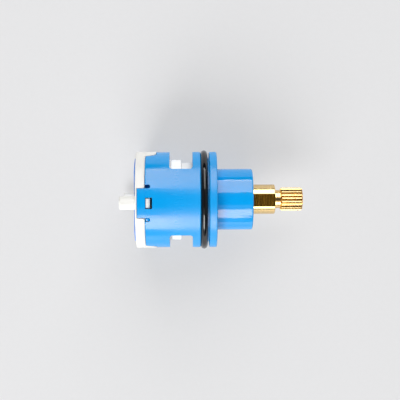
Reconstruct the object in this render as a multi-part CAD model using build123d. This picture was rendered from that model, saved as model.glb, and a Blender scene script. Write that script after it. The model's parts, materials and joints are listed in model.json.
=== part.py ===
from build123d import *
import math
import os

# Diverter cartridge for a concealed shower valve, in millimetres.
# The spindle axis is +X and points at the splined end. The origin is the centre of the
# base's seating face. The snap arms are at +Z and -Z, the side windows at +Y and -Y.
# The cartridge is drawn with its lower outlet, the one at -Y, open.

# Housing
HOUSING_R = 16.5
HOUSING_WALL = 2.5
HOUSING_EDGE = 0.25
SEAT_GAP = 0.27
CHAMBER_GAP = 0.13
FLANGE_THICKNESS = 2.64
SHOULDER_SINK = 0.1
NECK_R = 10.55
NECK_WALL = 4.05
NECK_LENGTH = 12.35
NECK_EDGE = 0.5
NECK_LIP_LENGTH = 1.5
NECK_LIP_PLAY = 0.15
SHOULDER_WIDTH = 2.5
STOP_HALF_ANGLE = 12.0
STOP_INSET = 0.65

# Snap arms
ARM_HALF_WIDTH = 5.0
ARM_DROP = 0.2
ARM_RELIEF = 0.2
ARM_TIP_GAP = 0.03
ARM_STEP = 0.21
ARM_WINDOW_GAP = 0.03
ARM_WINDOW_LENGTH = 2.3
SLOT_WIDTH = 1.2
SLOT_LENGTH = 1.84

# Side windows, set out from the disc pack that they uncover
WINDOW_LEAD = 0.53
WINDOW_INSET = 0.14
WINDOW_HALF_HEIGHT = 12.03
WINDOW_CORNER = 1.0

# Body O-ring and its groove
RING_GROOVE_DEPTH = 1.9
RING_GROOVE_LENGTH = 2.93
BODY_RING_SECTION_R = 1.25
RING_PLAY = 0.03

# Base
COLLAR_STEP = 0.15
COLLAR_LENGTH = 2.97
COLLAR_EDGE = 0.2
BASE_HEIGHT = 12.0
BASE_LIP = 0.6
PLUG_FIT = 0.1
KEY_LENGTH = 2.0
KEY_WIDTH = 4.0
KEY_DEPTH = 1.0
LATCH_WIDTH = 3.3
LATCH_SIDE_PLAY = 0.25
LATCH_PLAY = 0.1
LATCH_SINK = 0.6
LATCH_LENGTH = 1.45
LATCH_FLAT = 0.8
LATCH_SLOPE = 0.45
LATCH_ROOT = 0.6
POCKET_DEPTH = 5.5
POCKET_LENGTH = 3.5

# Locating pins of two sizes, so the base seats one way round only
PIN_INSET = 2.65
PIN_LENGTH = 5.3
LARGE_PIN_R = 2.3
SMALL_PIN_R = 1.6
PIN_EDGE = 0.3

# D-shaped outlet ports and the seals that run round them
PORT_WEB = 3.6
PORT_WALL = 3.7
PORT_END_CUT = 2.0
PORT_CORNER = 1.2
OUTLET_SEAL_INSET = 1.95
OUTLET_SEAL_LAND = 0.6
OUTLET_SEAL_WIDTH = 1.9
OUTLET_SEAL_PROUD = 0.47
DISC_SEAL_LAND = 0.7
DISC_SEAL_WIDTH = 1.7
SEAL_GROOVE_DEPTH = 1.6
SEAL_PLAY = 0.05
SEAL_EDGE = 0.4

# Side tongues that lie over the housing and stop the base from turning
TONGUE_ROOT_HALF = 6.2
TONGUE_TIP_HALF = 5.2
TONGUE_NOSE_HALF = 4.3
TONGUE_LENGTH = 3.62
TONGUE_CHAMFER = 0.86
TONGUE_THICKNESS = 1.3
TONGUE_PLAY = 0.1

# Ceramic discs
FIXED_DISC_PLAY = 0.2
FIXED_DISC_THICKNESS = 3.52
MOVING_DISC_INSET = 1.03
MOVING_DISC_THICKNESS = 4.0
KIDNEY_INNER_R = 4.5
KIDNEY_HALF_ANGLE = 38.0
NOTCH_HALF_ANGLE = 40.0
DISC_CORNER = 1.2
DISC_EDGE = 0.25

# Disc carrier, whose lugs turn the moving disc
PLATE_INSET = 0.17
PLATE_THICKNESS = 2.1
PLATE_CLEARANCE = 0.5
HUB_CLEARANCE = 0.4
HUB_LENGTH = 3.4
LUG_CIRCLE_R = 8.5
LUG_R = 1.5
LUG_LENGTH = 1.5
LUG_PLAY = 0.1
LUG_ANGLES = (0.0, 100.0, 260.0)
DRIVE_SLOT_DEPTH = 4.3
DRIVE_PLAY = 0.05

# Detents: two sprung balls in the hub and a ring of grooves in the housing
BALL_R = 1.0
BALL_PLAY = 0.05
BALL_WALL_GAP = 0.04
BALL_TRAVEL = 0.3
DETENT_COUNT = 4
DETENT_HOLE_FLOOR_R = 3.7
SPRING_WIRE_R = 0.15
SPRING_TURNS = 3

# Spindle
DRIVE_WIDTH = 6.0
DRIVE_INSET = 2.2
SPINDLE_GAP = 0.1
SPINDLE_FLANGE_THICKNESS = 1.8
STOP_PLAY_ANGLE = 1.0
TRAVEL = 180.0
JOURNAL_CLEARANCE = 0.05
SPINDLE_RING_SECTION_R = 0.9
SPINDLE_RING_START = 2.6
SPINDLE_RING_PITCH = 4.0
SPINDLE_RING_GROOVE = 2.3
SHAFT_R = 5.13
SHAFT_FLATS = 9.26
SHAFT_REACH = 7.85
SHAFT_EDGE = 0.3
UNDERCUT_R = 3.15
UNDERCUT_LENGTH = 1.9
SPLINE_R = 4.0
SPLINE_DEPTH = 0.54
SPLINE_LENGTH = 7.6
SPLINE_TEETH = 20
SPLINE_CREST = 0.44
SPLINE_CREST_DROP = 0.1
SPLINE_EDGE = 0.45
SCREW_HOLE_R = 1.65
SCREW_HOLE_DEPTH = 12.0
SCREW_HOLE_MOUTH = 0.35

# Thrust washer between the spindle's flange and the housing's shoulder
WASHER_BORE_PLAY = 0.2
WASHER_RIM_PLAY = 0.15
WASHER_THICKNESS = 0.8
WASHER_GAP = 0.05
WASHER_STOP_PLAY = 2.0

# Cutting tools run this far past the faces that they cut
OVERSHOOT = 1.0

# Radii that follow from the sizes above
bore_r = HOUSING_R - HOUSING_WALL
plug_r = bore_r - PLUG_FIT
collar_r = HOUSING_R + COLLAR_STEP
arm_bore_r = bore_r + ARM_RELIEF
arm_r = HOUSING_R - ARM_DROP
arm_window_half = LATCH_WIDTH / 2 + LATCH_SIDE_PLAY
tongue_inner_r = collar_r - TONGUE_THICKNESS
pin_circle_r = collar_r - PIN_INSET
port_r = plug_r - PORT_WALL
port_half_height = port_r - PORT_END_CUT
fixed_disc_r = bore_r - FIXED_DISC_PLAY
moving_disc_r = fixed_disc_r - MOVING_DISC_INSET
plate_r = moving_disc_r - PLATE_INSET
plate_chamber_r = plate_r + PLATE_CLEARANCE
neck_bore_r = NECK_R - NECK_WALL
hub_chamber_r = neck_bore_r + SHOULDER_WIDTH
hub_r = hub_chamber_r - HUB_CLEARANCE
drive_r = hub_r - DRIVE_INSET
stop_inner_r = neck_bore_r + STOP_INSET
ring_groove_r = HOUSING_R - RING_GROOVE_DEPTH
lip_r = SHAFT_R + NECK_LIP_PLAY
journal_r = neck_bore_r - JOURNAL_CLEARANCE
spindle_ring_r = neck_bore_r - RING_PLAY - 2 * SPINDLE_RING_SECTION_R
ball_centre_r = hub_chamber_r - BALL_WALL_GAP - BALL_R
far = 2 * HOUSING_R

# Stations along the axis that follow from the stack of pieces
housing_start = COLLAR_LENGTH + SEAT_GAP
arm_tip = BASE_LIP + ARM_TIP_GAP
arm_step = housing_start + ARM_STEP
arm_window_start = arm_step + ARM_WINDOW_GAP
latch_catch = arm_window_start + LATCH_PLAY
latch_end = latch_catch + LATCH_LENGTH
fixed_top = BASE_HEIGHT + FIXED_DISC_THICKNESS
moving_top = fixed_top + MOVING_DISC_THICKNESS
plate_top = moving_top + PLATE_THICKNESS
hub_chamber_start = plate_top + CHAMBER_GAP
hub_top = plate_top + HUB_LENGTH
ball_station = plate_top + HUB_LENGTH / 2
flange_bottom = hub_top + SPINDLE_GAP
flange_top = flange_bottom + SPINDLE_FLANGE_THICKNESS
shoulder = flange_top + WASHER_GAP + WASHER_THICKNESS
neck_start = shoulder - SHOULDER_SINK
neck_end = neck_start + NECK_LENGTH
lip_start = neck_end - NECK_LIP_LENGTH
ring_groove_end = neck_start - FLANGE_THICKNESS
ring_groove_start = ring_groove_end - RING_GROOVE_LENGTH
journal_end = lip_start - SPINDLE_GAP
shaft_end = neck_end + SHAFT_REACH
spline_start = shaft_end + UNDERCUT_LENGTH
spline_end = spline_start + SPLINE_LENGTH


def point(radius, degrees):
    """Point in the plane across the axis; the angle runs from +Y towards +Z."""
    angle = math.radians(degrees)
    return (radius * math.cos(angle), radius * math.sin(angle))


def across(face, start, end):
    """Face drawn across the axis, as (y, z), and extruded between two stations."""
    return extrude(Plane.YZ.offset(start) * face, amount=end - start)


def rod(radius, start, end):
    """Solid cylinder on the spindle axis."""
    return across(Circle(radius), start, end)


def pipe(outer_r, inner_r, start, end):
    return rod(outer_r, start, end) - rod(inner_r, start, end)


def slab(start, end, half_width, low_z, high_z):
    """Block between two stations, centred on y = 0."""
    size = (end - start, 2 * half_width, high_z - low_z)
    centre = ((start + end) / 2, 0, (low_z + high_z) / 2)
    return Pos(*centre) * Box(*size)


def opposite(solid):
    """The same solid turned half round the axis."""
    return Rot(180, 0, 0) * solid


def pair(solid):
    return solid + opposite(solid)


def sector_face(inner_r, outer_r, centre, half_angle):
    """Part of a ring across the axis, centred on an angle."""
    first = centre - half_angle
    last = centre + half_angle
    outer_arc = ThreePointArc(point(outer_r, first), point(outer_r, centre), point(outer_r, last))
    inner_arc = ThreePointArc(point(inner_r, last), point(inner_r, centre), point(inner_r, first))
    last_side = Line(outer_arc @ 1, inner_arc @ 0)
    first_side = Line(inner_arc @ 1, outer_arc @ 0)
    return make_face([outer_arc, last_side, inner_arc, first_side])


def d_face(web, radius, half_height, corner):
    """D-shaped outline on the +Y side: a straight web, a round back and cut-off ends."""
    disc = Rot(0, 0, 180) * Circle(radius)
    window = Pos(web + radius / 2, 0) * Rectangle(radius, 2 * half_height)
    outline = disc & window
    return fillet(outline.vertices(), corner)


def seal_face(radius, land, width, play):
    """Loop round the +Y port, a land away from it; play widens it on each side."""
    outer = land + width + play
    inner = land - play
    outer_face = d_face(PORT_WEB - outer, radius + play, port_half_height + outer, PORT_CORNER + play)
    inner_r = radius - width - play
    inner_face = d_face(PORT_WEB - inner, inner_r, port_half_height + inner, PORT_CORNER / 2)
    return outer_face - inner_face


def outlet_seal_face(play):
    return seal_face(collar_r - OUTLET_SEAL_INSET, OUTLET_SEAL_LAND, OUTLET_SEAL_WIDTH, play)


def disc_seal_face(play):
    radius = port_r + DISC_SEAL_LAND + DISC_SEAL_WIDTH
    return seal_face(radius, DISC_SEAL_LAND, DISC_SEAL_WIDTH, play)


def tongue_prism(play):
    """Side tongue's outline, grown by play and run right through the part along Y."""
    nose = housing_start + TONGUE_LENGTH
    upper = [
        (COLLAR_LENGTH - play, TONGUE_ROOT_HALF + play),
        (nose - TONGUE_CHAMFER, TONGUE_TIP_HALF + play),
        (nose + play, TONGUE_NOSE_HALF + play),
    ]
    lower = [(x, -z) for x, z in reversed(upper)]
    outline = make_face(Polyline(*upper, *lower, close=True))
    return extrude(Plane.XZ * outline, amount=far, both=True)


def chamfer_rims(solid, radius, size):
    """Chamfer the circular edges of one radius about the spindle axis."""
    circles = solid.edges().filter_by(GeomType.CIRCLE)
    return chamfer([edge for edge in circles if abs(edge.radius - radius) < 1e-6], size)


def latch():
    """Latch lug at +Z: a square catch towards the seat and a sloping lead-in behind it."""
    foot = plug_r - LATCH_ROOT
    top = HOUSING_R - LATCH_SINK
    profile = make_face(Polyline(
        (latch_catch, foot), (latch_catch, top), (latch_catch + LATCH_FLAT, top),
        (latch_end, top - LATCH_SLOPE), (latch_end, foot), close=True))
    return extrude(Plane.XZ * profile, amount=LATCH_WIDTH / 2, both=True)


def locating_pin(radius, centre_z):
    pin = rod(radius, -PIN_LENGTH, COLLAR_EDGE)
    tip = pin.edges().filter_by(GeomType.CIRCLE).sort_by(Axis.X)[0]
    return Pos(0, 0, centre_z) * chamfer(tip, PIN_EDGE)


def base_collar():
    """Collar with a bed for each snap arm; a thin lip closes the bed at the seating face."""
    collar = chamfer_rims(rod(collar_r, 0, COLLAR_LENGTH), collar_r, COLLAR_EDGE)
    bed = slab(BASE_LIP, COLLAR_LENGTH, ARM_HALF_WIDTH + PLUG_FIT, 0, far)
    bed -= rod(arm_bore_r - PLUG_FIT, 0, COLLAR_LENGTH)
    return collar - pair(bed)


def disc_key():
    """Key at +Z that stands on the base and stops the fixed disc from turning."""
    low_z = plug_r - KEY_DEPTH
    block = slab(BASE_HEIGHT - DISC_EDGE, BASE_HEIGHT + KEY_LENGTH, KEY_WIDTH / 2, low_z, far)
    return block & rod(plug_r - DISC_EDGE, 0, fixed_top)


def make_base():
    plug = chamfer_rims(rod(plug_r, BASE_LIP, BASE_HEIGHT), plug_r, DISC_EDGE)
    ring = pipe(collar_r, tongue_inner_r, COLLAR_LENGTH - COLLAR_EDGE, BASE_HEIGHT)
    tongues = tongue_prism(0) & ring
    base = base_collar() + plug + tongues + pair(latch()) + pair(disc_key())
    base += locating_pin(LARGE_PIN_R, pin_circle_r) + locating_pin(SMALL_PIN_R, -pin_circle_r)
    port_face = d_face(PORT_WEB, port_r, port_half_height, PORT_CORNER)
    port = across(port_face, -OVERSHOOT, BASE_HEIGHT + OVERSHOOT)
    outlet_groove = across(outlet_seal_face(SEAL_PLAY), -OVERSHOOT, SEAL_GROOVE_DEPTH)
    disc_groove = across(disc_seal_face(SEAL_PLAY), BASE_HEIGHT - SEAL_GROOVE_DEPTH,
                         BASE_HEIGHT + OVERSHOOT)
    pocket = slab(latch_end, latch_end + POCKET_LENGTH, arm_window_half, plug_r - POCKET_DEPTH, far)
    return base - pair(port) - pair(outlet_groove) - pair(disc_groove) - pair(pocket)


def make_outlet_seal():
    """Seal round the +Y outlet, standing proud of the seating face."""
    loop = across(outlet_seal_face(0), -OUTLET_SEAL_PROUD, SEAL_GROOVE_DEPTH)
    lip = loop.faces().sort_by(Axis.X)[0]
    return chamfer(lip.edges(), SEAL_EDGE)


def make_disc_seal():
    """Seal between the base and the fixed disc on the +Y side."""
    loop = across(disc_seal_face(0), BASE_HEIGHT - SEAL_GROOVE_DEPTH, BASE_HEIGHT)
    lip = loop.faces().sort_by(Axis.X)[-1]
    return chamfer(lip.edges(), SEAL_EDGE)


def disc_blank(radius, start, end):
    return chamfer_rims(rod(radius, start, end), radius, DISC_EDGE)


def make_fixed_disc():
    disc = disc_blank(fixed_disc_r, BASE_HEIGHT, fixed_top)
    kidney = sector_face(KIDNEY_INNER_R, port_r, 0, KIDNEY_HALF_ANGLE)
    port = across(fillet(kidney.vertices(), DISC_CORNER), BASE_HEIGHT, fixed_top)
    notch_floor = plug_r - KEY_DEPTH - PLUG_FIT
    notch = slab(BASE_HEIGHT, BASE_HEIGHT + KEY_LENGTH + PLUG_FIT, KEY_WIDTH / 2 + PLUG_FIT,
                 notch_floor, far)
    return disc - pair(port) - pair(notch)


def at_lugs(solid):
    """Copies of a solid drawn on the axis, moved to the place of each drive lug."""
    places = [point(LUG_CIRCLE_R, angle) for angle in LUG_ANGLES]
    return [Pos(0, y, z) * solid for y, z in places]


def make_moving_disc():
    """Disc with one open notch in its rim, which lets the water into the port below it."""
    disc = disc_blank(moving_disc_r, fixed_top, moving_top)
    mouth = sector_face(KIDNEY_INNER_R, far, 180, NOTCH_HALF_ANGLE)
    inner_corners = mouth.vertices().sort_by(lambda v: v.X ** 2 + v.Y ** 2)[:2]
    disc -= across(fillet(inner_corners, DISC_CORNER), fixed_top, moving_top)
    for socket in at_lugs(rod(LUG_R + LUG_PLAY, moving_top - LUG_LENGTH - LUG_PLAY, moving_top)):
        disc -= socket
    return disc


def drive_end(play, start, end):
    """Flat-sided end of the spindle; play grows it into the carrier's slot."""
    half = DRIVE_WIDTH / 2 + play
    return rod(drive_r + play, start, end) & slab(start, end, far, -half, half)


def make_disc_carrier():
    carrier = chamfer_rims(rod(plate_r, moving_top, plate_top), plate_r, DISC_EDGE)
    carrier += rod(hub_r, plate_top - DISC_EDGE, hub_top)
    carrier -= drive_end(DRIVE_PLAY, hub_top - DRIVE_SLOT_DEPTH, hub_top)
    hole = Cylinder(BALL_R + BALL_PLAY, far, align=(Align.CENTER, Align.CENTER, Align.MIN))
    carrier -= pair(Pos(ball_station, 0, DETENT_HOLE_FLOOR_R) * hole)
    for lug in at_lugs(rod(LUG_R, moving_top - LUG_LENGTH, moving_top + DISC_EDGE)):
        carrier += lug
    return carrier


def make_detent_ball():
    """Ball at +Z, at the height where it runs between two detents."""
    return Pos(ball_station, 0, ball_centre_r) * Sphere(BALL_R)


def make_detent_spring():
    """Coil spring behind the +Z ball; its wire has six sides."""
    bottom = DETENT_HOLE_FLOOR_R + 2 * SPRING_WIRE_R
    height = ball_centre_r - BALL_R - SPRING_WIRE_R - bottom
    coil = Helix(pitch=height / SPRING_TURNS, height=height, radius=BALL_R - SPRING_WIRE_R)
    section = Plane(coil @ 0, z_dir=coil % 0) * RegularPolygon(SPRING_WIRE_R, 6)
    return Pos(ball_station, 0, bottom) * sweep(section, path=coil, is_frenet=True)


def housing_profile():
    """Half section of the housing, without the arms, windows and stop."""
    edge = HOUSING_EDGE
    rim = HOUSING_R - edge
    outside = [
        (housing_start, rim), (housing_start + edge, HOUSING_R),
        (ring_groove_start - edge, HOUSING_R), (ring_groove_start, rim),
        (ring_groove_start, ring_groove_r), (ring_groove_end, ring_groove_r),
        (ring_groove_end, rim), (ring_groove_end + edge, HOUSING_R),
        (neck_start - edge, HOUSING_R), (neck_start, rim),
        (neck_start, NECK_R), (neck_end, NECK_R),
    ]
    inside = [
        (neck_end, lip_r), (lip_start, lip_r), (lip_start, neck_bore_r),
        (shoulder, neck_bore_r), (shoulder, hub_chamber_r), (hub_chamber_start, hub_chamber_r),
        (hub_chamber_start, plate_chamber_r), (moving_top, plate_chamber_r),
        (moving_top, bore_r), (housing_start + edge, bore_r), (housing_start, bore_r + edge),
    ]
    face = make_face(Polyline(*outside, *inside, close=True))
    neck_rim = face.vertices().sort_by_distance((neck_end, NECK_R, 0))[0]
    return fillet(neck_rim, NECK_EDGE)


def arm_cuts():
    """Latch window and two relief slots at each snap arm, punched along Z."""
    window_end = arm_window_start + ARM_WINDOW_LENGTH
    window = slab(arm_window_start, window_end, arm_window_half, -far, far)
    slot_r = SLOT_WIDTH / 2
    slot_end = housing_start + SLOT_LENGTH - slot_r
    slot = slab(housing_start - OVERSHOOT, slot_end, slot_r, -far, far)
    slot += Pos(slot_end, 0, 0) * Cylinder(slot_r, 2 * far)
    middle = ARM_HALF_WIDTH + slot_r
    return window + Pos(0, middle, 0) * slot + Pos(0, -middle, 0) * slot


def side_windows():
    """Rounded rectangle punched along Y, which opens the rim of the discs to the water."""
    start = BASE_HEIGHT - WINDOW_LEAD
    end = moving_top - WINDOW_INSET
    outline = RectangleRounded(end - start, 2 * WINDOW_HALF_HEIGHT, WINDOW_CORNER)
    return extrude(Plane.XZ * (Pos((start + end) / 2, 0) * outline), amount=far, both=True)


def detent_grooves():
    """Round grooves along the hub chamber, which the balls click into."""
    groove = rod(BALL_R + BALL_PLAY, hub_chamber_start, hub_top)
    angles = [90 + index * 360 / DETENT_COUNT for index in range(DETENT_COUNT)]
    places = [point(ball_centre_r + BALL_TRAVEL, angle) for angle in angles]
    return [Pos(0, y, z) * groove for y, z in places]


def make_housing():
    housing = revolve(housing_profile(), Axis.X)
    step = pipe(far, arm_r, housing_start, arm_step)
    step &= slab(housing_start, arm_step, ARM_HALF_WIDTH, 0, far)
    arm = pipe(arm_r, arm_bore_r, arm_tip, arm_step)
    arm &= slab(arm_tip, arm_step, ARM_HALF_WIDTH, 0, far)
    housing = housing - pair(step) + pair(arm)
    recess = pipe(far, tongue_inner_r - TONGUE_PLAY, housing_start - OVERSHOOT, BASE_HEIGHT)
    housing = housing - arm_cuts() - side_windows() - (tongue_prism(TONGUE_PLAY) & recess)
    for groove in detent_grooves():
        housing -= groove
    stop = sector_face(stop_inner_r, hub_chamber_r + HOUSING_EDGE, 270, STOP_HALF_ANGLE)
    return housing + across(stop, flange_bottom, shoulder)


def o_ring(inner_r, section_r, station):
    """O-ring about the spindle axis."""
    return revolve(Pos(station, inner_r + section_r) * Circle(section_r), Axis.X)


def make_body_o_ring():
    station = ring_groove_start + RING_PLAY + BODY_RING_SECTION_R
    return o_ring(ring_groove_r + RING_PLAY, BODY_RING_SECTION_R, station)


def spindle_ring_station(index):
    """Middle of an O-ring groove on the journal."""
    return shoulder + SPINDLE_RING_START + index * SPINDLE_RING_PITCH


def make_spindle_o_ring(index):
    return o_ring(spindle_ring_r, SPINDLE_RING_SECTION_R, spindle_ring_station(index))


def make_thrust_washer():
    """Washer with a gap for the housing's stop."""
    start = shoulder - WASHER_THICKNESS
    washer = pipe(hub_chamber_r - WASHER_RIM_PLAY, neck_bore_r + WASHER_BORE_PLAY, start, shoulder)
    gap = sector_face(stop_inner_r - RING_PLAY, far, 270, STOP_HALF_ANGLE + WASHER_STOP_PLAY)
    return washer - across(gap, start, shoulder)


def shaft_length():
    """Round shaft with one flat milled towards +Z and one opposite."""
    turned = chamfer_rims(rod(SHAFT_R, journal_end, shaft_end), SHAFT_R, SHAFT_EDGE)
    return turned & slab(journal_end, shaft_end, far, -SHAFT_FLATS / 2, SHAFT_FLATS / 2)


def tooth_outline(middle):
    """Rounded crest between two straight flanks, from one root to the next."""
    half_pitch = 180 / SPLINE_TEETH
    half_crest = math.degrees(SPLINE_CREST / 2 / SPLINE_R)
    root_r = SPLINE_R - SPLINE_DEPTH
    shoulder_r = SPLINE_R - SPLINE_CREST_DROP
    rise = point(shoulder_r, middle - half_crest)
    fall = point(shoulder_r, middle + half_crest)
    return [
        Line(point(root_r, middle - half_pitch), rise),
        ThreePointArc(rise, point(SPLINE_R, middle), fall),
        Line(fall, point(root_r, middle + half_pitch)),
    ]


def spline_length():
    """Round-crested teeth with a root towards +Z, chamfered at both ends."""
    pitch = 360 / SPLINE_TEETH
    edges = []
    for tooth in range(SPLINE_TEETH):
        edges += tooth_outline(90 + (tooth + 0.5) * pitch)
    turned = chamfer_rims(rod(SPLINE_R, spline_start, spline_end), SPLINE_R, SPLINE_EDGE)
    return across(make_face(edges), spline_start, spline_end) & turned


def handle_screw_hole():
    """Tapping-size hole for the handle screw, with a countersunk mouth."""
    hole = rod(SCREW_HOLE_R, spline_end - SCREW_HOLE_DEPTH, spline_end)
    mouth = Cone(SCREW_HOLE_R, SCREW_HOLE_R + SCREW_HOLE_MOUTH, SCREW_HOLE_MOUTH,
                 align=(Align.CENTER, Align.CENTER, Align.MAX))
    return hole + Pos(spline_end, 0, 0) * Rot(0, 90, 0) * mouth


def make_spindle():
    """Drive end, flange with its stop arc, journal, flatted shaft, undercut and spline."""
    spindle = drive_end(0, hub_top - DRIVE_SLOT_DEPTH + SPINDLE_GAP, flange_bottom)
    spindle += rod(journal_r, flange_bottom, journal_end)
    stop_half_angle = (360 - TRAVEL) / 2 - STOP_HALF_ANGLE - STOP_PLAY_ANGLE
    stop_arc = sector_face(journal_r - DISC_EDGE, hub_r, 0, stop_half_angle)
    spindle += across(stop_arc, flange_bottom, flange_top)
    for index in range(2):
        middle = spindle_ring_station(index)
        half = SPINDLE_RING_GROOVE / 2
        spindle -= pipe(far, spindle_ring_r - RING_PLAY, middle - half, middle + half)
    spindle += shaft_length() + rod(UNDERCUT_R, shaft_end, spline_start) + spline_length()
    return spindle - handle_screw_hole()


def all_parts():
    outlet_seal = make_outlet_seal()
    disc_seal = make_disc_seal()
    spring = make_detent_spring()
    ball = make_detent_ball()
    return {
        "housing": make_housing(),
        "base": make_base(),
        "outlet_seal_1": outlet_seal,
        "outlet_seal_2": opposite(outlet_seal),
        "disc_seal_1": disc_seal,
        "disc_seal_2": opposite(disc_seal),
        "fixed_disc": make_fixed_disc(),
        "moving_disc": make_moving_disc(),
        "disc_carrier": make_disc_carrier(),
        "detent_spring_1": spring,
        "detent_spring_2": opposite(spring),
        "detent_ball_1": ball,
        "detent_ball_2": opposite(ball),
        "spindle": make_spindle(),
        "spindle_o_ring_inner": make_spindle_o_ring(0),
        "spindle_o_ring_outer": make_spindle_o_ring(1),
        "thrust_washer": make_thrust_washer(),
        "body_o_ring": make_body_o_ring(),
    }


def main():
    os.makedirs("parts", exist_ok=True)
    for name, solid in all_parts().items():
        export_step(solid, os.path.join("parts", name + ".step"))


main()
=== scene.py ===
import bmesh
import bpy
import json
import math
from mathutils import Matrix, Vector


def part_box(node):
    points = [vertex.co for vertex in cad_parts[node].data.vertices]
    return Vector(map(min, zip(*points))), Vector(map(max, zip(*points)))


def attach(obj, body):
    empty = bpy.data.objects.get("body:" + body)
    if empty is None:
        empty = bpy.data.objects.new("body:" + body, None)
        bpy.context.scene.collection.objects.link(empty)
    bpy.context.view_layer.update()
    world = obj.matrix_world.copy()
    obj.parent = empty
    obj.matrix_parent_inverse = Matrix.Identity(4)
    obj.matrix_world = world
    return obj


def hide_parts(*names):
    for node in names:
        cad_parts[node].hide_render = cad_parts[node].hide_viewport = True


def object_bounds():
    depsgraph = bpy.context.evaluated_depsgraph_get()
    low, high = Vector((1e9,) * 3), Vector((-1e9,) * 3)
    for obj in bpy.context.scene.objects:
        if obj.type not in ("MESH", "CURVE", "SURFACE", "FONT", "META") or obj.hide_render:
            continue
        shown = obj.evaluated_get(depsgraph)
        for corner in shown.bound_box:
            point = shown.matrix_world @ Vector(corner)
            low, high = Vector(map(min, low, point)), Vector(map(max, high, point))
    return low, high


MM = 0.001

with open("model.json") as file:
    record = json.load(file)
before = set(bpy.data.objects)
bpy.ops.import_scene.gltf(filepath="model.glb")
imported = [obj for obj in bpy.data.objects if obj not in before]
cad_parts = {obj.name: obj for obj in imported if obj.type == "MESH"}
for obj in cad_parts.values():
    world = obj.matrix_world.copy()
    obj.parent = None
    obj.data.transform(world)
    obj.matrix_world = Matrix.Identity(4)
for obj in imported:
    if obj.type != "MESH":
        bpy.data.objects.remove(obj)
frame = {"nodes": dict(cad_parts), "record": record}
cad_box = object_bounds()


def top_of(name, axis):
    """Highest coordinate of a CAD node along an axis, in mm."""
    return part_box(name)[1]["xyz".index(axis)] / MM


def mount_radius(name):
    return next(mount["dims"]["r_mm"] for mount in frame["record"]["mounts"] if mount["name"] == name)


# Sizes of the part that the frame gives
HOUSING_R_MM = top_of("housing", "z")
NECK_R_MM = mount_radius("neck")
FIXED_DISC_TOP_MM = top_of("fixed_disc", "x")

# Stations along the spindle axis where one form or look ends and the next starts
SKIRT_START_MM = 3.24
NECK_START_MM = 27.6        # just inside the flange
SHAFT_START_MM = 39.0       # hidden in the neck
UNDERCUT_START_MM = 47.8
SPLINE_START_MM = 49.8

# Camera, from the photograph
IMAGE_PX = 400
SCALE_MM = 0.348            # millimetres per pixel at the spindle axis
ORIGIN_PX = (136.95, 199.5)  # where the base's seating face crosses the axis
FOOT_PX = 186.0             # the column that the camera looks straight down on
DISTANCE_MM = 365.0
CAMERA_LEAN_DEG = 4.3       # the camera leans towards the upper window
IMAGE_ROLL_DEG = 0.25       # the axis climbs a little towards the spline
SENSOR_MM = 36

# Studio: softboxes round the object under a dark ceiling, and a pale floor. The edges of a
# softbox are given in degrees from straight above, and in mm along its length.
UPPER, LOWER, LEFT, RIGHT = (0, 1), (0, -1), (-1, 0), (1, 0)
STUDIO_MIDDLE_MM = 25.0     # station that the softboxes stand round
SOFTBOX_DISTANCE_MM = 1200.0
CEILING_DEG = 17.0          # the dark ceiling reaches this far to each side
UPPER_DEG = (29.9, 81.9)
UPPER_RIM_DEG = 80.0        # the upper softbox is brighter below this
UPPER_MM = (-450.0, 650.0)
LOWER_DEG = (34.1, 69.7)
LOWER_MM = (-1050.0, 215.0)
LOWER_SPLIT_MM = -350.0     # the lower softbox is brighter left of here
HORIZON_DEG = 88.0          # lower edge of the lower wall
SIDE_DEG = (22.0, 80.0)
SIDE_MM = (-700.0, 700.0)
SOFTBOXES = {               # the way each lies, its edges and its radiance
    "upper_softbox": (UPPER, UPPER_DEG, UPPER_MM, 3.9),
    "upper_rim": (UPPER, (UPPER_RIM_DEG, UPPER_DEG[1]), UPPER_MM, 7.0),
    "upper_glow": (UPPER, (CEILING_DEG, UPPER_DEG[0]), UPPER_MM, 0.12),
    "ceiling_glow": (UPPER, (-CEILING_DEG, CEILING_DEG), (-500.0, 500.0), 0.055),
    "lower_softbox": (LOWER, LOWER_DEG, (LOWER_SPLIT_MM, LOWER_MM[1]), 6.7),
    "lower_left_softbox": (LOWER, LOWER_DEG, (-800.0, LOWER_SPLIT_MM), 10.2),
    "lower_glow": (LOWER, (CEILING_DEG, LOWER_DEG[0]), LOWER_MM, 0.6),
    "lower_wall": (LOWER, (LOWER_DEG[1], HORIZON_DEG), LOWER_MM, 0.55),
    "left_softbox": (LEFT, SIDE_DEG, SIDE_MM, 0.2),
    "right_softbox": (RIGHT, SIDE_DEG, SIDE_MM, 0.3),
}
ROOM_BRIGHTNESS = 0.78
ROOM_TINT = (1.0, 1.01, 1.03)
FLOOR_GLOW = 0.41
FLOOR_GLOW_NEAR = 0.95      # below the picture's lower edge
FLOOR_FADE_MM = (-110.0, -80.0)  # between these the near glow fades to the other
FLOOR_MM = {"left": -1500.0, "right": 1500.0, "near": -1500.0, "far": 170.0}


def link(thing):
    bpy.context.scene.collection.objects.link(thing)
    return thing


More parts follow.
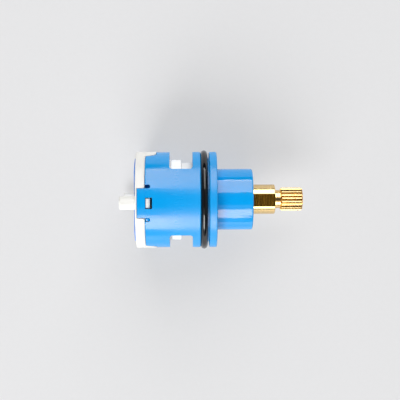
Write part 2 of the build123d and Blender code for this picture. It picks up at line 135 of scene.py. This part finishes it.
def add_camera():
    lean = math.radians(CAMERA_LEAN_DEG)
    foot_x = (FOOT_PX - ORIGIN_PX[0]) * SCALE_MM
    aim_x = (IMAGE_PX / 2 - ORIGIN_PX[0]) * SCALE_MM
    aim_y = (ORIGIN_PX[1] - IMAGE_PX / 2) * SCALE_MM
    aim = Vector((aim_x, aim_y, 0)) * MM
    place = Vector((foot_x, aim_y + DISTANCE_MM * math.sin(lean), DISTANCE_MM * math.cos(lean))) * MM
    back = (place - aim).normalized()
    right = Vector((0, 1, 0)).cross(back).normalized()
    up = back.cross(right)
    turn = Matrix((right, up, back)).transposed().to_4x4()
    roll = Matrix.Rotation(-math.radians(IMAGE_ROLL_DEG), 4, "Z")
    data = bpy.data.cameras.new("camera")
    data.sensor_width = SENSOR_MM
    width_mm = IMAGE_PX * SCALE_MM
    data.lens = data.sensor_width * (place - aim).length / MM / width_mm
    data.clip_start = 0.01
    data.clip_end = 10
    camera = link(bpy.data.objects.new("camera", data))
    camera.matrix_world = Matrix.Translation(place) @ turn @ roll
    bpy.context.scene.camera = camera


def add_softbox(name, way, degrees, along_mm, radiance):
    """Softbox that faces the object and spans two angles measured from straight above."""
    middle = math.radians(sum(degrees) / 2)
    half = math.radians((degrees[1] - degrees[0]) / 2)
    level = Vector((*way, 0))
    away = level * math.sin(middle) + Vector((0, 0, math.cos(middle)))
    width = (along_mm[1] - along_mm[0]) * MM
    height = 2 * SOFTBOX_DISTANCE_MM * MM * math.tan(half)
    data = bpy.data.lights.new(name, "AREA")
    data.shape = "RECTANGLE"
    data.size = width
    data.size_y = height
    data.energy = math.pi * radiance * width * height
    lamp = link(bpy.data.objects.new(name, data))
    across = level.cross(away).normalized()
    turn = Matrix((across, away.cross(across), away)).transposed().to_4x4()
    shift = sum(along_mm) / 2 if way in (UPPER, LOWER) else 0.0
    aside = Vector((STUDIO_MIDDLE_MM + shift, 0, 0))
    lamp.matrix_world = Matrix.Translation((aside + away * SOFTBOX_DISTANCE_MM) * MM) @ turn
    lamp.visible_camera = False


def add_studio():
    for name, softbox in SOFTBOXES.items():
        add_softbox(name, *softbox)
    world = bpy.data.worlds.new("studio")
    world.use_nodes = True
    shade = world.node_tree.nodes["Background"].inputs
    shade["Color"].default_value = (*(ROOM_BRIGHTNESS * tint for tint in ROOM_TINT), 1)
    world.cycles_visibility.diffuse = False
    world.cycles_visibility.glossy = False
    world.cycles_visibility.transmission = False
    bpy.context.scene.world = world
    bpy.context.scene.view_settings.view_transform = "Standard"


def add_floor():
    lowest = cad_box[0].z
    left, right, near, far = (edge * MM for edge in FLOOR_MM.values())
    data = bpy.data.meshes.new("floor")
    corners = [(left, near, lowest), (right, near, lowest), (right, far, lowest), (left, far, lowest)]
    data.from_pydata(corners, [], [(0, 1, 2, 3)])
    floor = link(bpy.data.objects.new("floor", data))
    data.materials.append(floor_material())


class Look:
    """One material, built from short calls that add shader nodes and join them."""

    def __init__(self, name, roughness, metallic=0.0, specular=0.5):
        self.material = bpy.data.materials.new(name)
        self.material.use_nodes = True
        self.tree = self.material.node_tree
        self.surface = self.tree.nodes["Principled BSDF"]
        self.set(Roughness=roughness, Metallic=metallic, IOR=1.5, Specular_IOR_Level=specular)
        coordinates = self.add("TexCoord").outputs["Object"]
        scaled = self.add("VectorMath", operation="SCALE")
        self.feed(scaled.inputs[0], coordinates)
        scaled.inputs["Scale"].default_value = 1 / MM
        self.place = scaled.outputs["Vector"]
        parts = self.add("SeparateXYZ")
        self.feed(parts.inputs["Vector"], self.place)
        self.x, self.y, self.z = (parts.outputs[axis] for axis in "XYZ")

    def add(self, kind, **settings):
        node = self.tree.nodes.new("ShaderNode" + kind)
        for name, value in settings.items():
            setattr(node, name, value)
        return node

    def feed(self, socket, value):
        """Gives a socket a constant, or the output of another node."""
        if isinstance(value, bpy.types.NodeSocket):
            self.tree.links.new(value, socket)
        elif socket.type == "RGBA" and len(value) == 3:
            socket.default_value = (*value, 1)
        else:
            socket.default_value = value

    def set(self, **values):
        """Sets inputs of the Principled shader by name."""
        for name, value in values.items():
            self.feed(self.surface.inputs[name.replace("_", " ")], value)

    def math(self, operation, *values):
        node = self.add("Math", operation=operation)
        for socket, value in zip(node.inputs, values):
            self.feed(socket, value)
        return node.outputs["Value"]

    def stretch(self, along, across):
        """Place in mm, scaled differently along the spindle axis and across it."""
        node = self.add("VectorMath", operation="MULTIPLY")
        self.feed(node.inputs[0], self.place)
        node.inputs[1].default_value = (along, across, across)
        return node.outputs["Vector"]

    def noise(self, per_mm, detail=2.0, place=None):
        node = self.add("TexNoise")
        self.feed(node.inputs["Vector"], place or self.place)
        node.inputs["Scale"].default_value = per_mm
        node.inputs["Detail"].default_value = detail
        return node.outputs["Fac"]

    def spread(self, value, low, high, to_low=0.0, to_high=1.0, smooth=False):
        """Maps a range onto another, and holds it at the ends."""
        node = self.add("MapRange", interpolation_type="SMOOTHSTEP" if smooth else "LINEAR")
        self.feed(node.inputs["Value"], value)
        for socket, number in zip(("From Min", "From Max", "To Min", "To Max"), (low, high, to_low, to_high)):
            node.inputs[socket].default_value = number
        return node.outputs["Result"]

    def vary(self, noise, low, high, swing=0.2):
        """Turns a noise that swings about a half into values from low to high."""
        return self.spread(noise, 0.5 - swing, 0.5 + swing, low, high)

    def blend(self, factor, first, second):
        """Mixes two colours, which are sockets 6 and 7 of the node."""
        node = self.add("Mix", data_type="RGBA")
        self.feed(node.inputs["Factor"], factor)
        self.feed(node.inputs[6], first)
        self.feed(node.inputs[7], second)
        return node.outputs[2]

    def mix(self, factor, first, second):
        """Mixes two numbers, which are sockets 2 and 3 of the node."""
        node = self.add("Mix", data_type="FLOAT")
        self.feed(node.inputs["Factor"], factor)
        self.feed(node.inputs[2], first)
        self.feed(node.inputs[3], second)
        return node.outputs[0]

    def bump(self, height, depth_mm, under=None):
        node = self.add("Bump")
        node.inputs["Strength"].default_value = 1.0
        node.inputs["Distance"].default_value = depth_mm * MM
        self.feed(node.inputs["Height"], height)
        if under:
            self.feed(node.inputs["Normal"], under)
        return node.outputs["Normal"]


def floor_material():
    look = Look("floor", roughness=0.9, specular=0.1)
    fibres = look.noise(per_mm=0.8, detail=4)
    look.set(Base_Color=look.blend(fibres, (0.285, 0.285, 0.29), (0.305, 0.305, 0.31)))
    glow = look.spread(look.y, *FLOOR_FADE_MM, FLOOR_GLOW_NEAR, FLOOR_GLOW, smooth=True)
    look.set(Emission_Color=(1.0, 1.0, 1.005), Emission_Strength=glow)
    return look.material


GLOSS_END_MM = 3.0          # the skirt is glossiest up to here,
SATIN_START_MM = 21.0       # and satin from here to the neck
NECK_BLEND_MM = 0.2         # length over which the finish changes at the neck
SKIRT_ROUGHNESS = (0.13, 0.18)
NECK_ROUGHNESS = (0.07, 0.15)
SATIN_ROUGHNESS = (0.30, 0.37)
GRAIN_MM = 0.010
GLOSSY_GRAIN = 0.2          # share of the grain that the glossy parts keep
BLUE = (0.0, 0.318, 0.75)
BLUE_DEEP = (0.0, 0.304, 0.73)
HIGHLIGHT_TINT = (1.0, 0.72, 0.45)


def housing_material():
    """Blue moulded plastic: satin on the body, polished on the neck and the skirt."""
    look = Look("housing_plastic", roughness=0.4, specular=0.7)
    clouds = look.noise(per_mm=0.18, detail=3)
    look.set(Base_Color=look.blend(clouds, BLUE_DEEP, BLUE), Specular_Tint=HIGHLIGHT_TINT)
    past_gloss = look.spread(look.x, GLOSS_END_MM, SATIN_START_MM, smooth=True)
    on_neck = look.spread(look.x, NECK_START_MM, NECK_START_MM + NECK_BLEND_MM)
    satin = look.math("MULTIPLY", past_gloss, look.math("SUBTRACT", 1.0, on_neck))
    flow = look.noise(per_mm=1.2, detail=3, place=look.stretch(along=0.12, across=1.0))
    neck = look.vary(look.noise(per_mm=1.6, detail=3), *NECK_ROUGHNESS, swing=0.15)
    polished = look.mix(on_neck, look.vary(flow, *SKIRT_ROUGHNESS), neck)
    look.set(Roughness=look.mix(satin, polished, look.vary(flow, *SATIN_ROUGHNESS)))
    grain = look.math("MULTIPLY", look.noise(per_mm=3.0, detail=3), look.mix(satin, GLOSSY_GRAIN, 1.0))
    waves = look.noise(per_mm=0.35, detail=1)
    look.set(Normal=look.bump(waves, depth_mm=0.02, under=look.bump(grain, GRAIN_MM)))
    return look.material


WHITE = (0.78, 0.773, 0.738)
WHITE_DEEP = (0.75, 0.743, 0.708)


def white_plastic_material(name, warmth=0.0):
    """White moulded plastic; warmth is taken off its blue."""
    look = Look(name, roughness=0.35, specular=0.5)
    deep, pale = ((red, green, blue - warmth) for red, green, blue in (WHITE_DEEP, WHITE))
    look.set(Base_Color=look.blend(look.noise(per_mm=0.25, detail=3), deep, pale))
    look.set(Roughness=look.vary(look.noise(per_mm=1.5, detail=3), 0.28, 0.4))
    look.set(Normal=look.bump(look.noise(per_mm=6.0, detail=2), depth_mm=0.004))
    return look.material


def silicone_material():
    look = Look("silicone", roughness=0.55, specular=0.25)
    clouds = look.noise(per_mm=0.6, detail=3)
    look.set(Base_Color=look.blend(clouds, (0.02, 0.21, 0.78), (0.035, 0.27, 0.88)))
    look.set(Normal=look.bump(look.noise(per_mm=5.0, detail=2), depth_mm=0.006))
    return look.material


MOVING_GREY = (0.76, 0.755, 0.745)   # the moving disc looks greyer in the photograph
DISC_EDGE_MM = 0.05         # length over which the colour changes where the discs meet


def alumina_material():
    """Fired ceramic with fine specks; the moving disc is greyer than the fixed one."""
    look = Look("alumina", roughness=0.5, specular=0.6)
    specks = look.spread(look.noise(per_mm=9.0, detail=2), 0.35, 0.6)
    fired = look.blend(specks, (0.93, 0.925, 0.905), (0.96, 0.955, 0.94))
    on_moving = look.spread(look.x, FIXED_DISC_TOP_MM, FIXED_DISC_TOP_MM + DISC_EDGE_MM)
    look.set(Base_Color=look.blend(on_moving, fired, MOVING_GREY))
    look.set(Roughness=look.vary(look.noise(per_mm=2.0, detail=3), 0.35, 0.55))
    look.set(Normal=look.bump(look.noise(per_mm=12.0, detail=3), depth_mm=0.004))
    return look.material


def steel_material():
    look = Look("spring_steel", roughness=0.25, metallic=1.0)
    look.set(Base_Color=look.blend(look.noise(per_mm=3.0), (0.5, 0.5, 0.49), (0.62, 0.62, 0.6)))
    return look.material


MILLED_FLAT_MM = 4.63       # distance of the milled flats from the axis
SPLINE_ROOT_MM = 3.58       # radius below which the spline's roots take the full milled colour as painted shade,
SPLINE_CREST_MM = 3.94      # and radius where it ends
TURNED_DEEP = (0.84, 0.58, 0.26)
TURNED_PALE = (0.92, 0.70, 0.36)
# milled colours, which also serve as painted shade in the spline's roots
MILLED_AND_ROOT_SHADE_DEEP = (0.70, 0.34, 0.035)
MILLED_AND_ROOT_SHADE_PALE = (0.98, 0.52, 0.07)
UNDERCUT_SHARE = 0.25       # how much of the milled colour the undercut has
BRASS_EDGE_MM = 0.1         # length over which one colour changes to the next,
HIDDEN_EDGE_MM = 0.5        # the same inside the neck,
FLAT_EDGE_MM = 0.06         # and the same at the milled flats


def brass_material():
    """Turned and milled brass, with fine tool marks that run across the axis, and painted shade in the
    spline's roots.
    """
    look = Look("brass", roughness=0.22, metallic=1.0)
    turned = look.blend(look.noise(per_mm=0.7, detail=4), TURNED_DEEP, TURNED_PALE)
    squares = (look.math("POWER", side, 2.0) for side in (look.y, look.z))
    radius = look.math("SQRT", look.math("ADD", *squares))
    # painted shade: the spline's roots and lower flanks take the darker milled colour, for the shade between
    # its teeth
    crest = look.spread(radius, SPLINE_ROOT_MM, SPLINE_CREST_MM)
    on_spline = look.spread(look.x, SPLINE_START_MM - BRASS_EDGE_MM, SPLINE_START_MM)
    root_shade = look.math("MULTIPLY", on_spline, look.math("SUBTRACT", 1.0, crest))
    on_shaft = look.spread(look.x, SHAFT_START_MM, SHAFT_START_MM + HIDDEN_EDGE_MM)
    height = look.math("ABSOLUTE", look.z)
    on_flat = look.spread(height, MILLED_FLAT_MM - FLAT_EDGE_MM, MILLED_FLAT_MM)
    milled_and_root_shade = look.math("MAXIMUM", root_shade, look.math("MULTIPLY", on_flat, on_shaft))
    past_shaft = look.spread(look.x, UNDERCUT_START_MM, UNDERCUT_START_MM + BRASS_EDGE_MM)
    in_undercut = look.math("MULTIPLY", look.math("SUBTRACT", past_shaft, on_spline), UNDERCUT_SHARE)
    streaks = look.noise(per_mm=2.2, detail=3, place=look.stretch(along=1.0, across=0.05))
    cut_and_root_shade = look.blend(look.vary(streaks, 0.0, 1.0, swing=0.15), MILLED_AND_ROOT_SHADE_DEEP, MILLED_AND_ROOT_SHADE_PALE)
    look.set(Base_Color=look.blend(look.math("MAXIMUM", milled_and_root_shade, in_undercut), turned, cut_and_root_shade))
    marks = look.noise(per_mm=4.0, detail=3, place=look.stretch(along=1.0, across=0.08))
    look.set(Roughness=look.vary(marks, 0.16, 0.30))
    look.set(Normal=look.bump(marks, depth_mm=0.01))
    return look.material


def rubber_material():
    """Black rubber with a thin film of grease."""
    look = Look("black_rubber", roughness=0.4, specular=0.5)
    clouds = look.noise(per_mm=0.9, detail=3)
    look.set(Base_Color=look.blend(clouds, (0.001, 0.002, 0.003), (0.003, 0.004, 0.006)))
    look.set(Roughness=look.vary(look.noise(per_mm=1.6, detail=4), 0.07, 0.13, swing=0.15))
    look.set(Normal=look.bump(look.noise(per_mm=3.5, detail=4), depth_mm=0.008))
    return look.material


def washer_material():
    look = Look("washer_plastic", roughness=0.3)
    look.set(Base_Color=look.blend(look.noise(per_mm=1.0), (0.84, 0.84, 0.82), (0.9, 0.9, 0.88)))
    return look.material


def dress_nodes():
    """Gives every CAD node the material of its slot in the record."""
    materials = {
        "housing_plastic": housing_material(),
        "base_plastic": white_plastic_material("base_plastic"),
        "silicone": silicone_material(),
        "alumina": alumina_material(),
        "carrier_plastic": white_plastic_material("carrier_plastic", warmth=0.02),
        "spring_steel": steel_material(),
        "brass": brass_material(),
        "black_rubber": rubber_material(),
        "washer_plastic": washer_material(),
    }
    for part in frame["record"]["subparts"]:
        node = frame["nodes"][part["node"]]
        node.data.materials.clear()
        node.data.materials.append(materials[part["material_slot"]])


def body_of(name):
    for body, nodes in frame["record"]["behaviour"]["bodies"].items():
        if name in nodes:
            return body


def material_of(slot):
    for part in frame["record"]["subparts"]:
        if part["material_slot"] == slot:
            return frame["nodes"][part["node"]].data.materials[0]


SHARP_DEG = 30.0     # an edge is rounded where the CAD surfaces on its sides differ by more than this
STRAIGHT_DEG = 40.0  # edges that turn less than this where they meet belong to one chain
ROOM_SHARE = 0.45    # share of the face beside it that a rounded edge may take
LEAST_SHARE = 0.1    # an edge with room for less than this share of its rounding stays sharp
WELD_MM = 0.04       # corners of the CAD mesh nearer than this are joined
FLAT_DEG = 0.3       # faces that differ by less than this become one
MOST_CORNERS = 8     # faces with more corners are cut into triangles


def room_beside(edge):
    """Width of the narrower face beside an edge."""
    start = edge.verts[0].co
    along = (edge.verts[1].co - start).normalized()
    return min(max((corner.co - start).cross(along).length for corner in face.verts)
               for face in edge.link_faces)


def is_crease(edge, normal):
    """Whether the CAD surfaces on the sides of an edge meet at an angle."""
    if len(edge.link_loops) != 2:
        return False
    one, other = edge.link_loops
    ends = ((one, other.link_loop_next), (one.link_loop_next, other))
    return max(first[normal].angle(second[normal], 0) for first, second in ends) > math.radians(SHARP_DEG)


def runs_on(edge, corner, other):
    """Whether another edge carries an edge on, past their common corner."""
    back = edge.other_vert(corner).co - corner.co
    on = other.other_vert(corner).co - corner.co
    return math.pi - back.angle(on) < math.radians(STRAIGHT_DEG)


def take_chain(left):
    """Takes one edge and all that carry it on out of a set of edges."""
    chain = {left.pop()}
    ends = list(chain)
    while ends:
        edge = ends.pop()
        for corner in edge.verts:
            found = [other for other in corner.link_edges if other in left and runs_on(edge, corner, other)]
            left.difference_update(found)
            chain.update(found)
            ends.extend(found)
    return chain


def tag_creases(cage, normal, edge_mm):
    """Weights for the edges to round. Each chain has one weight, so that its rounding stays even."""
    weight = cage.edges.layers.float.new("bevel_weight_edge")
    left = {edge for edge in cage.edges if is_crease(edge, normal)}
    while left:
        chain = take_chain(left)
        room = ROOM_SHARE * min(room_beside(edge) for edge in chain) / (edge_mm * MM)
        for edge in chain:
            edge[weight] = min(1.0, room) if room > LEAST_SHARE else 0.0


def cage_of(node):
    """Mesh of a CAD node, welded and simplified, that remembers the CAD surfaces' normals."""
    cage = bmesh.new()
    cage.from_mesh(node.data)
    normal = cage.loops.layers.float_vector.new("cad_normal")
    for face, polygon in zip(cage.faces, node.data.polygons):
        for loop, corner in zip(face.loops, polygon.loop_indices):
            loop[normal] = node.data.corner_normals[corner].vector
    bmesh.ops.remove_doubles(cage, verts=cage.verts, dist=WELD_MM * MM)
    bmesh.ops.dissolve_degenerate(cage, dist=WELD_MM * MM / 10, edges=cage.edges)
    flat = math.radians(FLAT_DEG)
    bmesh.ops.dissolve_limit(cage, angle_limit=flat, verts=cage.verts, edges=cage.edges, delimit=set())
    large = [face for face in cage.faces if len(face.verts) > MOST_CORNERS]
    bmesh.ops.triangulate(cage, faces=large, quad_method="BEAUTY", ngon_method="BEAUTY")
    return cage, normal


def shade(mesh):
    """Takes the CAD surfaces' normals on the faces, and blends between them over the rounded edges.

    Faces of the rounded edges are those with the second material.
    """
    shape = bmesh.new()
    shape.from_mesh(mesh)
    normal = shape.loops.layers.float_vector["cad_normal"]
    normals = []
    for face in shape.faces:
        for loop in face.loops:
            total = loop[normal]
            if face.material_index == 1:
                beside = [other for other in loop.vert.link_loops if other.face.material_index == 0]
                total = sum((other[normal] for other in beside), Vector())
                if total.length < 0.5:     # no face beside it, or faces that look opposite ways
                    total = loop.vert.normal
            normals.append(total.normalized())
    shape.free()
    mesh.polygons.foreach_set("material_index", [0] * len(mesh.polygons))
    mesh.polygons.foreach_set("use_smooth", [True] * len(mesh.polygons))
    mesh.attributes.remove(mesh.attributes["cad_normal"])
    mesh.normals_split_custom_set(normals)


def soften(name, suffix, edge_mm):
    """Copy of a CAD node whose sharp edges are rounded, which stands for the node."""
    node = frame["nodes"][name]
    cage, normal = cage_of(node)
    tag_creases(cage, normal, edge_mm)
    mesh = bpy.data.meshes.new(name + suffix)
    cage.to_mesh(mesh)
    cage.free()
    material = node.data.materials[0]
    mesh.materials.append(material)
    mesh.materials.append(material)     # for the rounded edges
    piece = link(bpy.data.objects.new(name + suffix, mesh))
    round_edges = piece.modifiers.new("round_edges", "BEVEL")
    round_edges.width = edge_mm * MM
    round_edges.segments = 2
    round_edges.limit_method = "WEIGHT"
    round_edges.use_clamp_overlap = False
    round_edges.loop_slide = False
    round_edges.material = 1
    shaped = piece.evaluated_get(bpy.context.evaluated_depsgraph_get())
    piece.data = bpy.data.meshes.new_from_object(shaped)
    piece.modifiers.clear()
    shade(piece.data)
    piece.data.materials.pop(index=1)
    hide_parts(name)
    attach(piece, body_of(name))


# How each piece was made, and the radius of its edges
ROUNDED = {
    "housing": ("_moulding", 0.12),
    "base": ("_moulding", 0.12),
    "spindle": ("_turning", 0.05),
    "disc_carrier": ("_moulding", 0.1),
    "thrust_washer": ("_moulding", 0.08),
    "fixed_disc": ("_grinding", 0.08),
    "moving_disc": ("_grinding", 0.08),
    "outlet_seal_1": ("_moulding", 0.12),
    "outlet_seal_2": ("_moulding", 0.12),
    "disc_seal_1": ("_moulding", 0.12),
    "disc_seal_2": ("_moulding", 0.12),
}


def add_mesh(name, points, faces, slot, body, smooth=True):
    """Piece from points in mm, which rides on a body and wears the material of a slot."""
    data = bpy.data.meshes.new(name)
    data.from_pydata([[value * MM for value in point] for point in points], [], faces)
    data.polygons.foreach_set("use_smooth", [smooth] * len(data.polygons))
    data.materials.append(material_of(slot))
    piece = link(bpy.data.objects.new(name, data))
    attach(piece, body)
    return piece


def on_circle(x, radius, angle):
    """Point at a station of the spindle axis; the angle is measured from +Z towards +Y."""
    return x, radius * math.sin(angle), radius * math.cos(angle)


def grid_faces(rows, columns, close_rows=False, close_columns=False):
    """Quads of a grid whose points are listed row by row."""
    faces = []
    for row in range(rows if close_rows else rows - 1):
        for column in range(columns if close_columns else columns - 1):
            here, below = row * columns, (row + 1) % rows * columns
            after = (column + 1) % columns
            faces.append((here + column, here + after, below + after, below + column))
    return faces


RING_STATION_MM = 23.30     # middle of the O-ring's section along the axis
RING_SECTION_MM = 1.17      # radius of its section
RING_MIDDLE_MM = 15.93      # radius of the circle through the middle of its section
RING_FLASH_MM = 0.02        # height of the mould's flash line
RING_FLASH_DEG = 4.0
RING_STEPS = 144
SECTION_STEPS = 40


def add_body_ring():
    """O-ring with the fine flash line that its mould leaves inside and outside."""
    flash = math.radians(RING_FLASH_DEG)
    angles = [2 * math.pi * step / SECTION_STEPS for step in range(SECTION_STEPS)]
    angles = sorted(angles + [flash, 2 * math.pi - flash, math.pi - flash, math.pi + flash])
    points = []
    for step in range(RING_STEPS):
        turn = 2 * math.pi * step / RING_STEPS
        for angle in angles:
            on_line = abs(math.sin(angle)) < math.sin(flash) / 2
            section = RING_SECTION_MM + (RING_FLASH_MM if on_line else 0.0)
            points.append(on_circle(RING_STATION_MM + section * math.sin(angle),
                                    RING_MIDDLE_MM + section * math.cos(angle), turn))
    faces = grid_faces(RING_STEPS, len(angles), close_rows=True, close_columns=True)
    ring = add_mesh("body_o_ring_moulding", points, faces, "black_rubber", "body")
    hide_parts("body_o_ring")


THREAD_PITCH_MM = 0.7
THREAD_START_MM = 46.0
THREAD_END_MM = 57.0
THREAD_ROOT_MM = mount_radius("handle_screw_hole") + 0.03    # just inside the wall of the hole
THREAD_CREST_MM = 1.40
THREAD_HALF_MM = 0.32       # half the ridge's width at its root
CREST_HALF_MM = 0.05
THREAD_STEPS = 36           # per turn


def add_handle_thread():
    """Ridge that shows the handle screw's thread, and fades in and out at its ends."""
    turns = (THREAD_END_MM - THREAD_START_MM) / THREAD_PITCH_MM
    steps = int(turns * THREAD_STEPS)
    points = []
    for step in range(steps + 1):
        share = step / steps
        rise = min(1.0, share * turns, (1 - share) * turns)
        crest = THREAD_ROOT_MM + (THREAD_CREST_MM - THREAD_ROOT_MM) * rise
        middle = THREAD_START_MM + share * turns * THREAD_PITCH_MM
        turn = 2 * math.pi * step / THREAD_STEPS
        points += [on_circle(middle - THREAD_HALF_MM, THREAD_ROOT_MM, turn),
                   on_circle(middle - CREST_HALF_MM, crest, turn),
                   on_circle(middle + CREST_HALF_MM, crest, turn),
                   on_circle(middle + THREAD_HALF_MM, THREAD_ROOT_MM, turn)]
    add_mesh("handle_screw_thread", points, grid_faces(steps + 1, 4), "brass", "spindle", smooth=False)


PARTING_HALF_MM = 0.07
PARTING_HEIGHT_MM = 0.03
PARTING_SINK_MM = 0.01
PARTING_FADE_MM = 0.2       # length over which a line rises at its ends
PARTING_LINES = {           # station where each starts and ends, and radius of the surface
    "skirt": (3.7, 11.2, HOUSING_R_MM),
    "wall": (19.7, 21.8, HOUSING_R_MM),
    "flange": (25.4, 27.4, HOUSING_R_MM),
    "neck": (27.8, 39.4, NECK_R_MM),
}


def add_parting_line(name, start, end, radius, turn):
    """Fine ridge along the axis."""
    half = PARTING_HALF_MM / radius
    foot = radius - PARTING_SINK_MM
    top = radius + PARTING_HEIGHT_MM
    stations = (start, start + PARTING_FADE_MM, end - PARTING_FADE_MM, end)
    points = []
    for x, ridge in zip(stations, (radius, top, top, radius)):
        points += [on_circle(x, foot, turn - half), on_circle(x, ridge, turn),
                   on_circle(x, foot, turn + half)]
    add_mesh(name, points, grid_faces(len(stations), 3), "housing_plastic", "body")


def add_parting_lines():
    """Lines where the halves of the housing's mould met."""
    for name, line in PARTING_LINES.items():
        add_parting_line(f"parting_line_{name}_upper", *line, math.pi / 2)
        add_parting_line(f"parting_line_{name}_lower", *line, -math.pi / 2)


SLOT_MIDDLE_MM = 5.6        # middle of the slots beside each snap arm
SLOT_START_MM = 3.5
SLOT_ROUND_MM = 4.48        # centre of their round end
SLOT_END_STEPS = 8
DOME_RINGS = ((0.0, 1.0), (0.55, 0.75), (0.85, 0.3), (1.0, 0.0))   # shares of its width and height
WEB_THICKNESS_MM = 0.5


def add_slot_web(name, side, turn, depth_mm, half_mm, dome_mm):
    """Slightly domed web that closes the bottom of a slot beside a snap arm."""
    outline = [(SLOT_START_MM, -half_mm), (SLOT_ROUND_MM, -half_mm)]
    for step in range(1, SLOT_END_STEPS):
        angle = math.pi * (step / SLOT_END_STEPS - 0.5)
        outline.append((SLOT_ROUND_MM + half_mm * math.cos(angle), half_mm * math.sin(angle)))
    outline += [(SLOT_ROUND_MM, half_mm), (SLOT_START_MM, half_mm)]
    middle_x = (SLOT_START_MM + SLOT_ROUND_MM + half_mm) / 2
    rings = [(share, dome_mm * height) for share, height in DOME_RINGS] + [(1.0, -WEB_THICKNESS_MM)]
    points = []
    for share, rise in rings:
        for x, across in outline:
            y = side * SLOT_MIDDLE_MM + share * across
            z = math.sqrt(HOUSING_R_MM ** 2 - y ** 2) - depth_mm + rise
            points.append((middle_x + share * (x - middle_x), turn * y, turn * z))
    faces = grid_faces(len(rings), len(outline), close_columns=True)
    add_mesh(name, points, faces, "housing_plastic", "body")


def add_slot_webs():
    """Shallow webs in the lower slots, and deep floors in the upper ones."""
    for place, turn in (("front", 1), ("back", -1)):
        add_slot_web(f"slot_web_lower_{place}", -1, turn, depth_mm=0.5, half_mm=0.5, dome_mm=0.2)
        add_slot_web(f"slot_floor_upper_{place}", 1, turn, depth_mm=2.4, half_mm=0.62, dome_mm=0.05)


BEAD_START_MM = 2.80
BEAD_END_MM = SKIRT_START_MM - 0.05
BEAD_HEIGHT_MM = 0.03       # above the surface of the skirt
BEAD_CHAMFER_MM = 0.05
BEAD_ROOT_MM = HOUSING_R_MM - 0.5
BEAD_START_DEG = 18.6       # clear of the snap arm
BEAD_STEPS = 96


def add_collar_beads():
    """Low beads at the end of the base's collar, which narrow its gap to the housing's skirt."""
    top = HOUSING_R_MM + BEAD_HEIGHT_MM
    section = [(BEAD_START_MM, BEAD_ROOT_MM), (BEAD_START_MM, top), (BEAD_END_MM - BEAD_CHAMFER_MM, top),
               (BEAD_END_MM, top - BEAD_CHAMFER_MM), (BEAD_END_MM, BEAD_ROOT_MM)]
    count = len(section)
    faces = grid_faces(BEAD_STEPS + 1, count, close_columns=True)
    faces += [tuple(range(count)), tuple(range(BEAD_STEPS * count, (BEAD_STEPS + 1) * count))]
    for side, turn in (("upper", 1), ("lower", -1)):
        points = []
        for step in range(BEAD_STEPS + 1):
            angle = math.radians(BEAD_START_DEG + (180 - 2 * BEAD_START_DEG) * step / BEAD_STEPS)
            points += [on_circle(x, radius, turn * angle) for x, radius in section]
        add_mesh(f"collar_bead_{side}", points, faces, "base_plastic", "body", smooth=False)


GATE_R_MM = 0.7
GATE_INNER_R_MM = 0.45
GATE_HEIGHT_MM = 0.06
GATE_EDGE_MM = 0.05
GATE_SINK_MM = 0.02
GATE_STEPS = 48


def add_gate_mark():
    """Stub of the base's mould gate, in the middle of its seating face."""
    profile = [(GATE_SINK_MM, GATE_R_MM), (-GATE_HEIGHT_MM, GATE_R_MM - GATE_EDGE_MM),
               (-GATE_HEIGHT_MM, GATE_INNER_R_MM + GATE_EDGE_MM), (0.0, GATE_INNER_R_MM),
               (-GATE_SINK_MM, GATE_SINK_MM)]
    turns = [2 * math.pi * step / GATE_STEPS for step in range(GATE_STEPS)]
    points = [on_circle(x, radius, turn) for x, radius in profile for turn in turns]
    faces = grid_faces(len(profile), GATE_STEPS, close_columns=True)
    add_mesh("base_gate_mark", points, faces, "base_plastic", "body")


add_camera()
add_studio()
add_floor()
dress_nodes()
for name, (suffix, edge_mm) in ROUNDED.items():
    soften(name, suffix, edge_mm)
add_body_ring()
add_handle_thread()
add_parting_lines()
add_slot_webs()
add_collar_beads()
add_gate_mark()
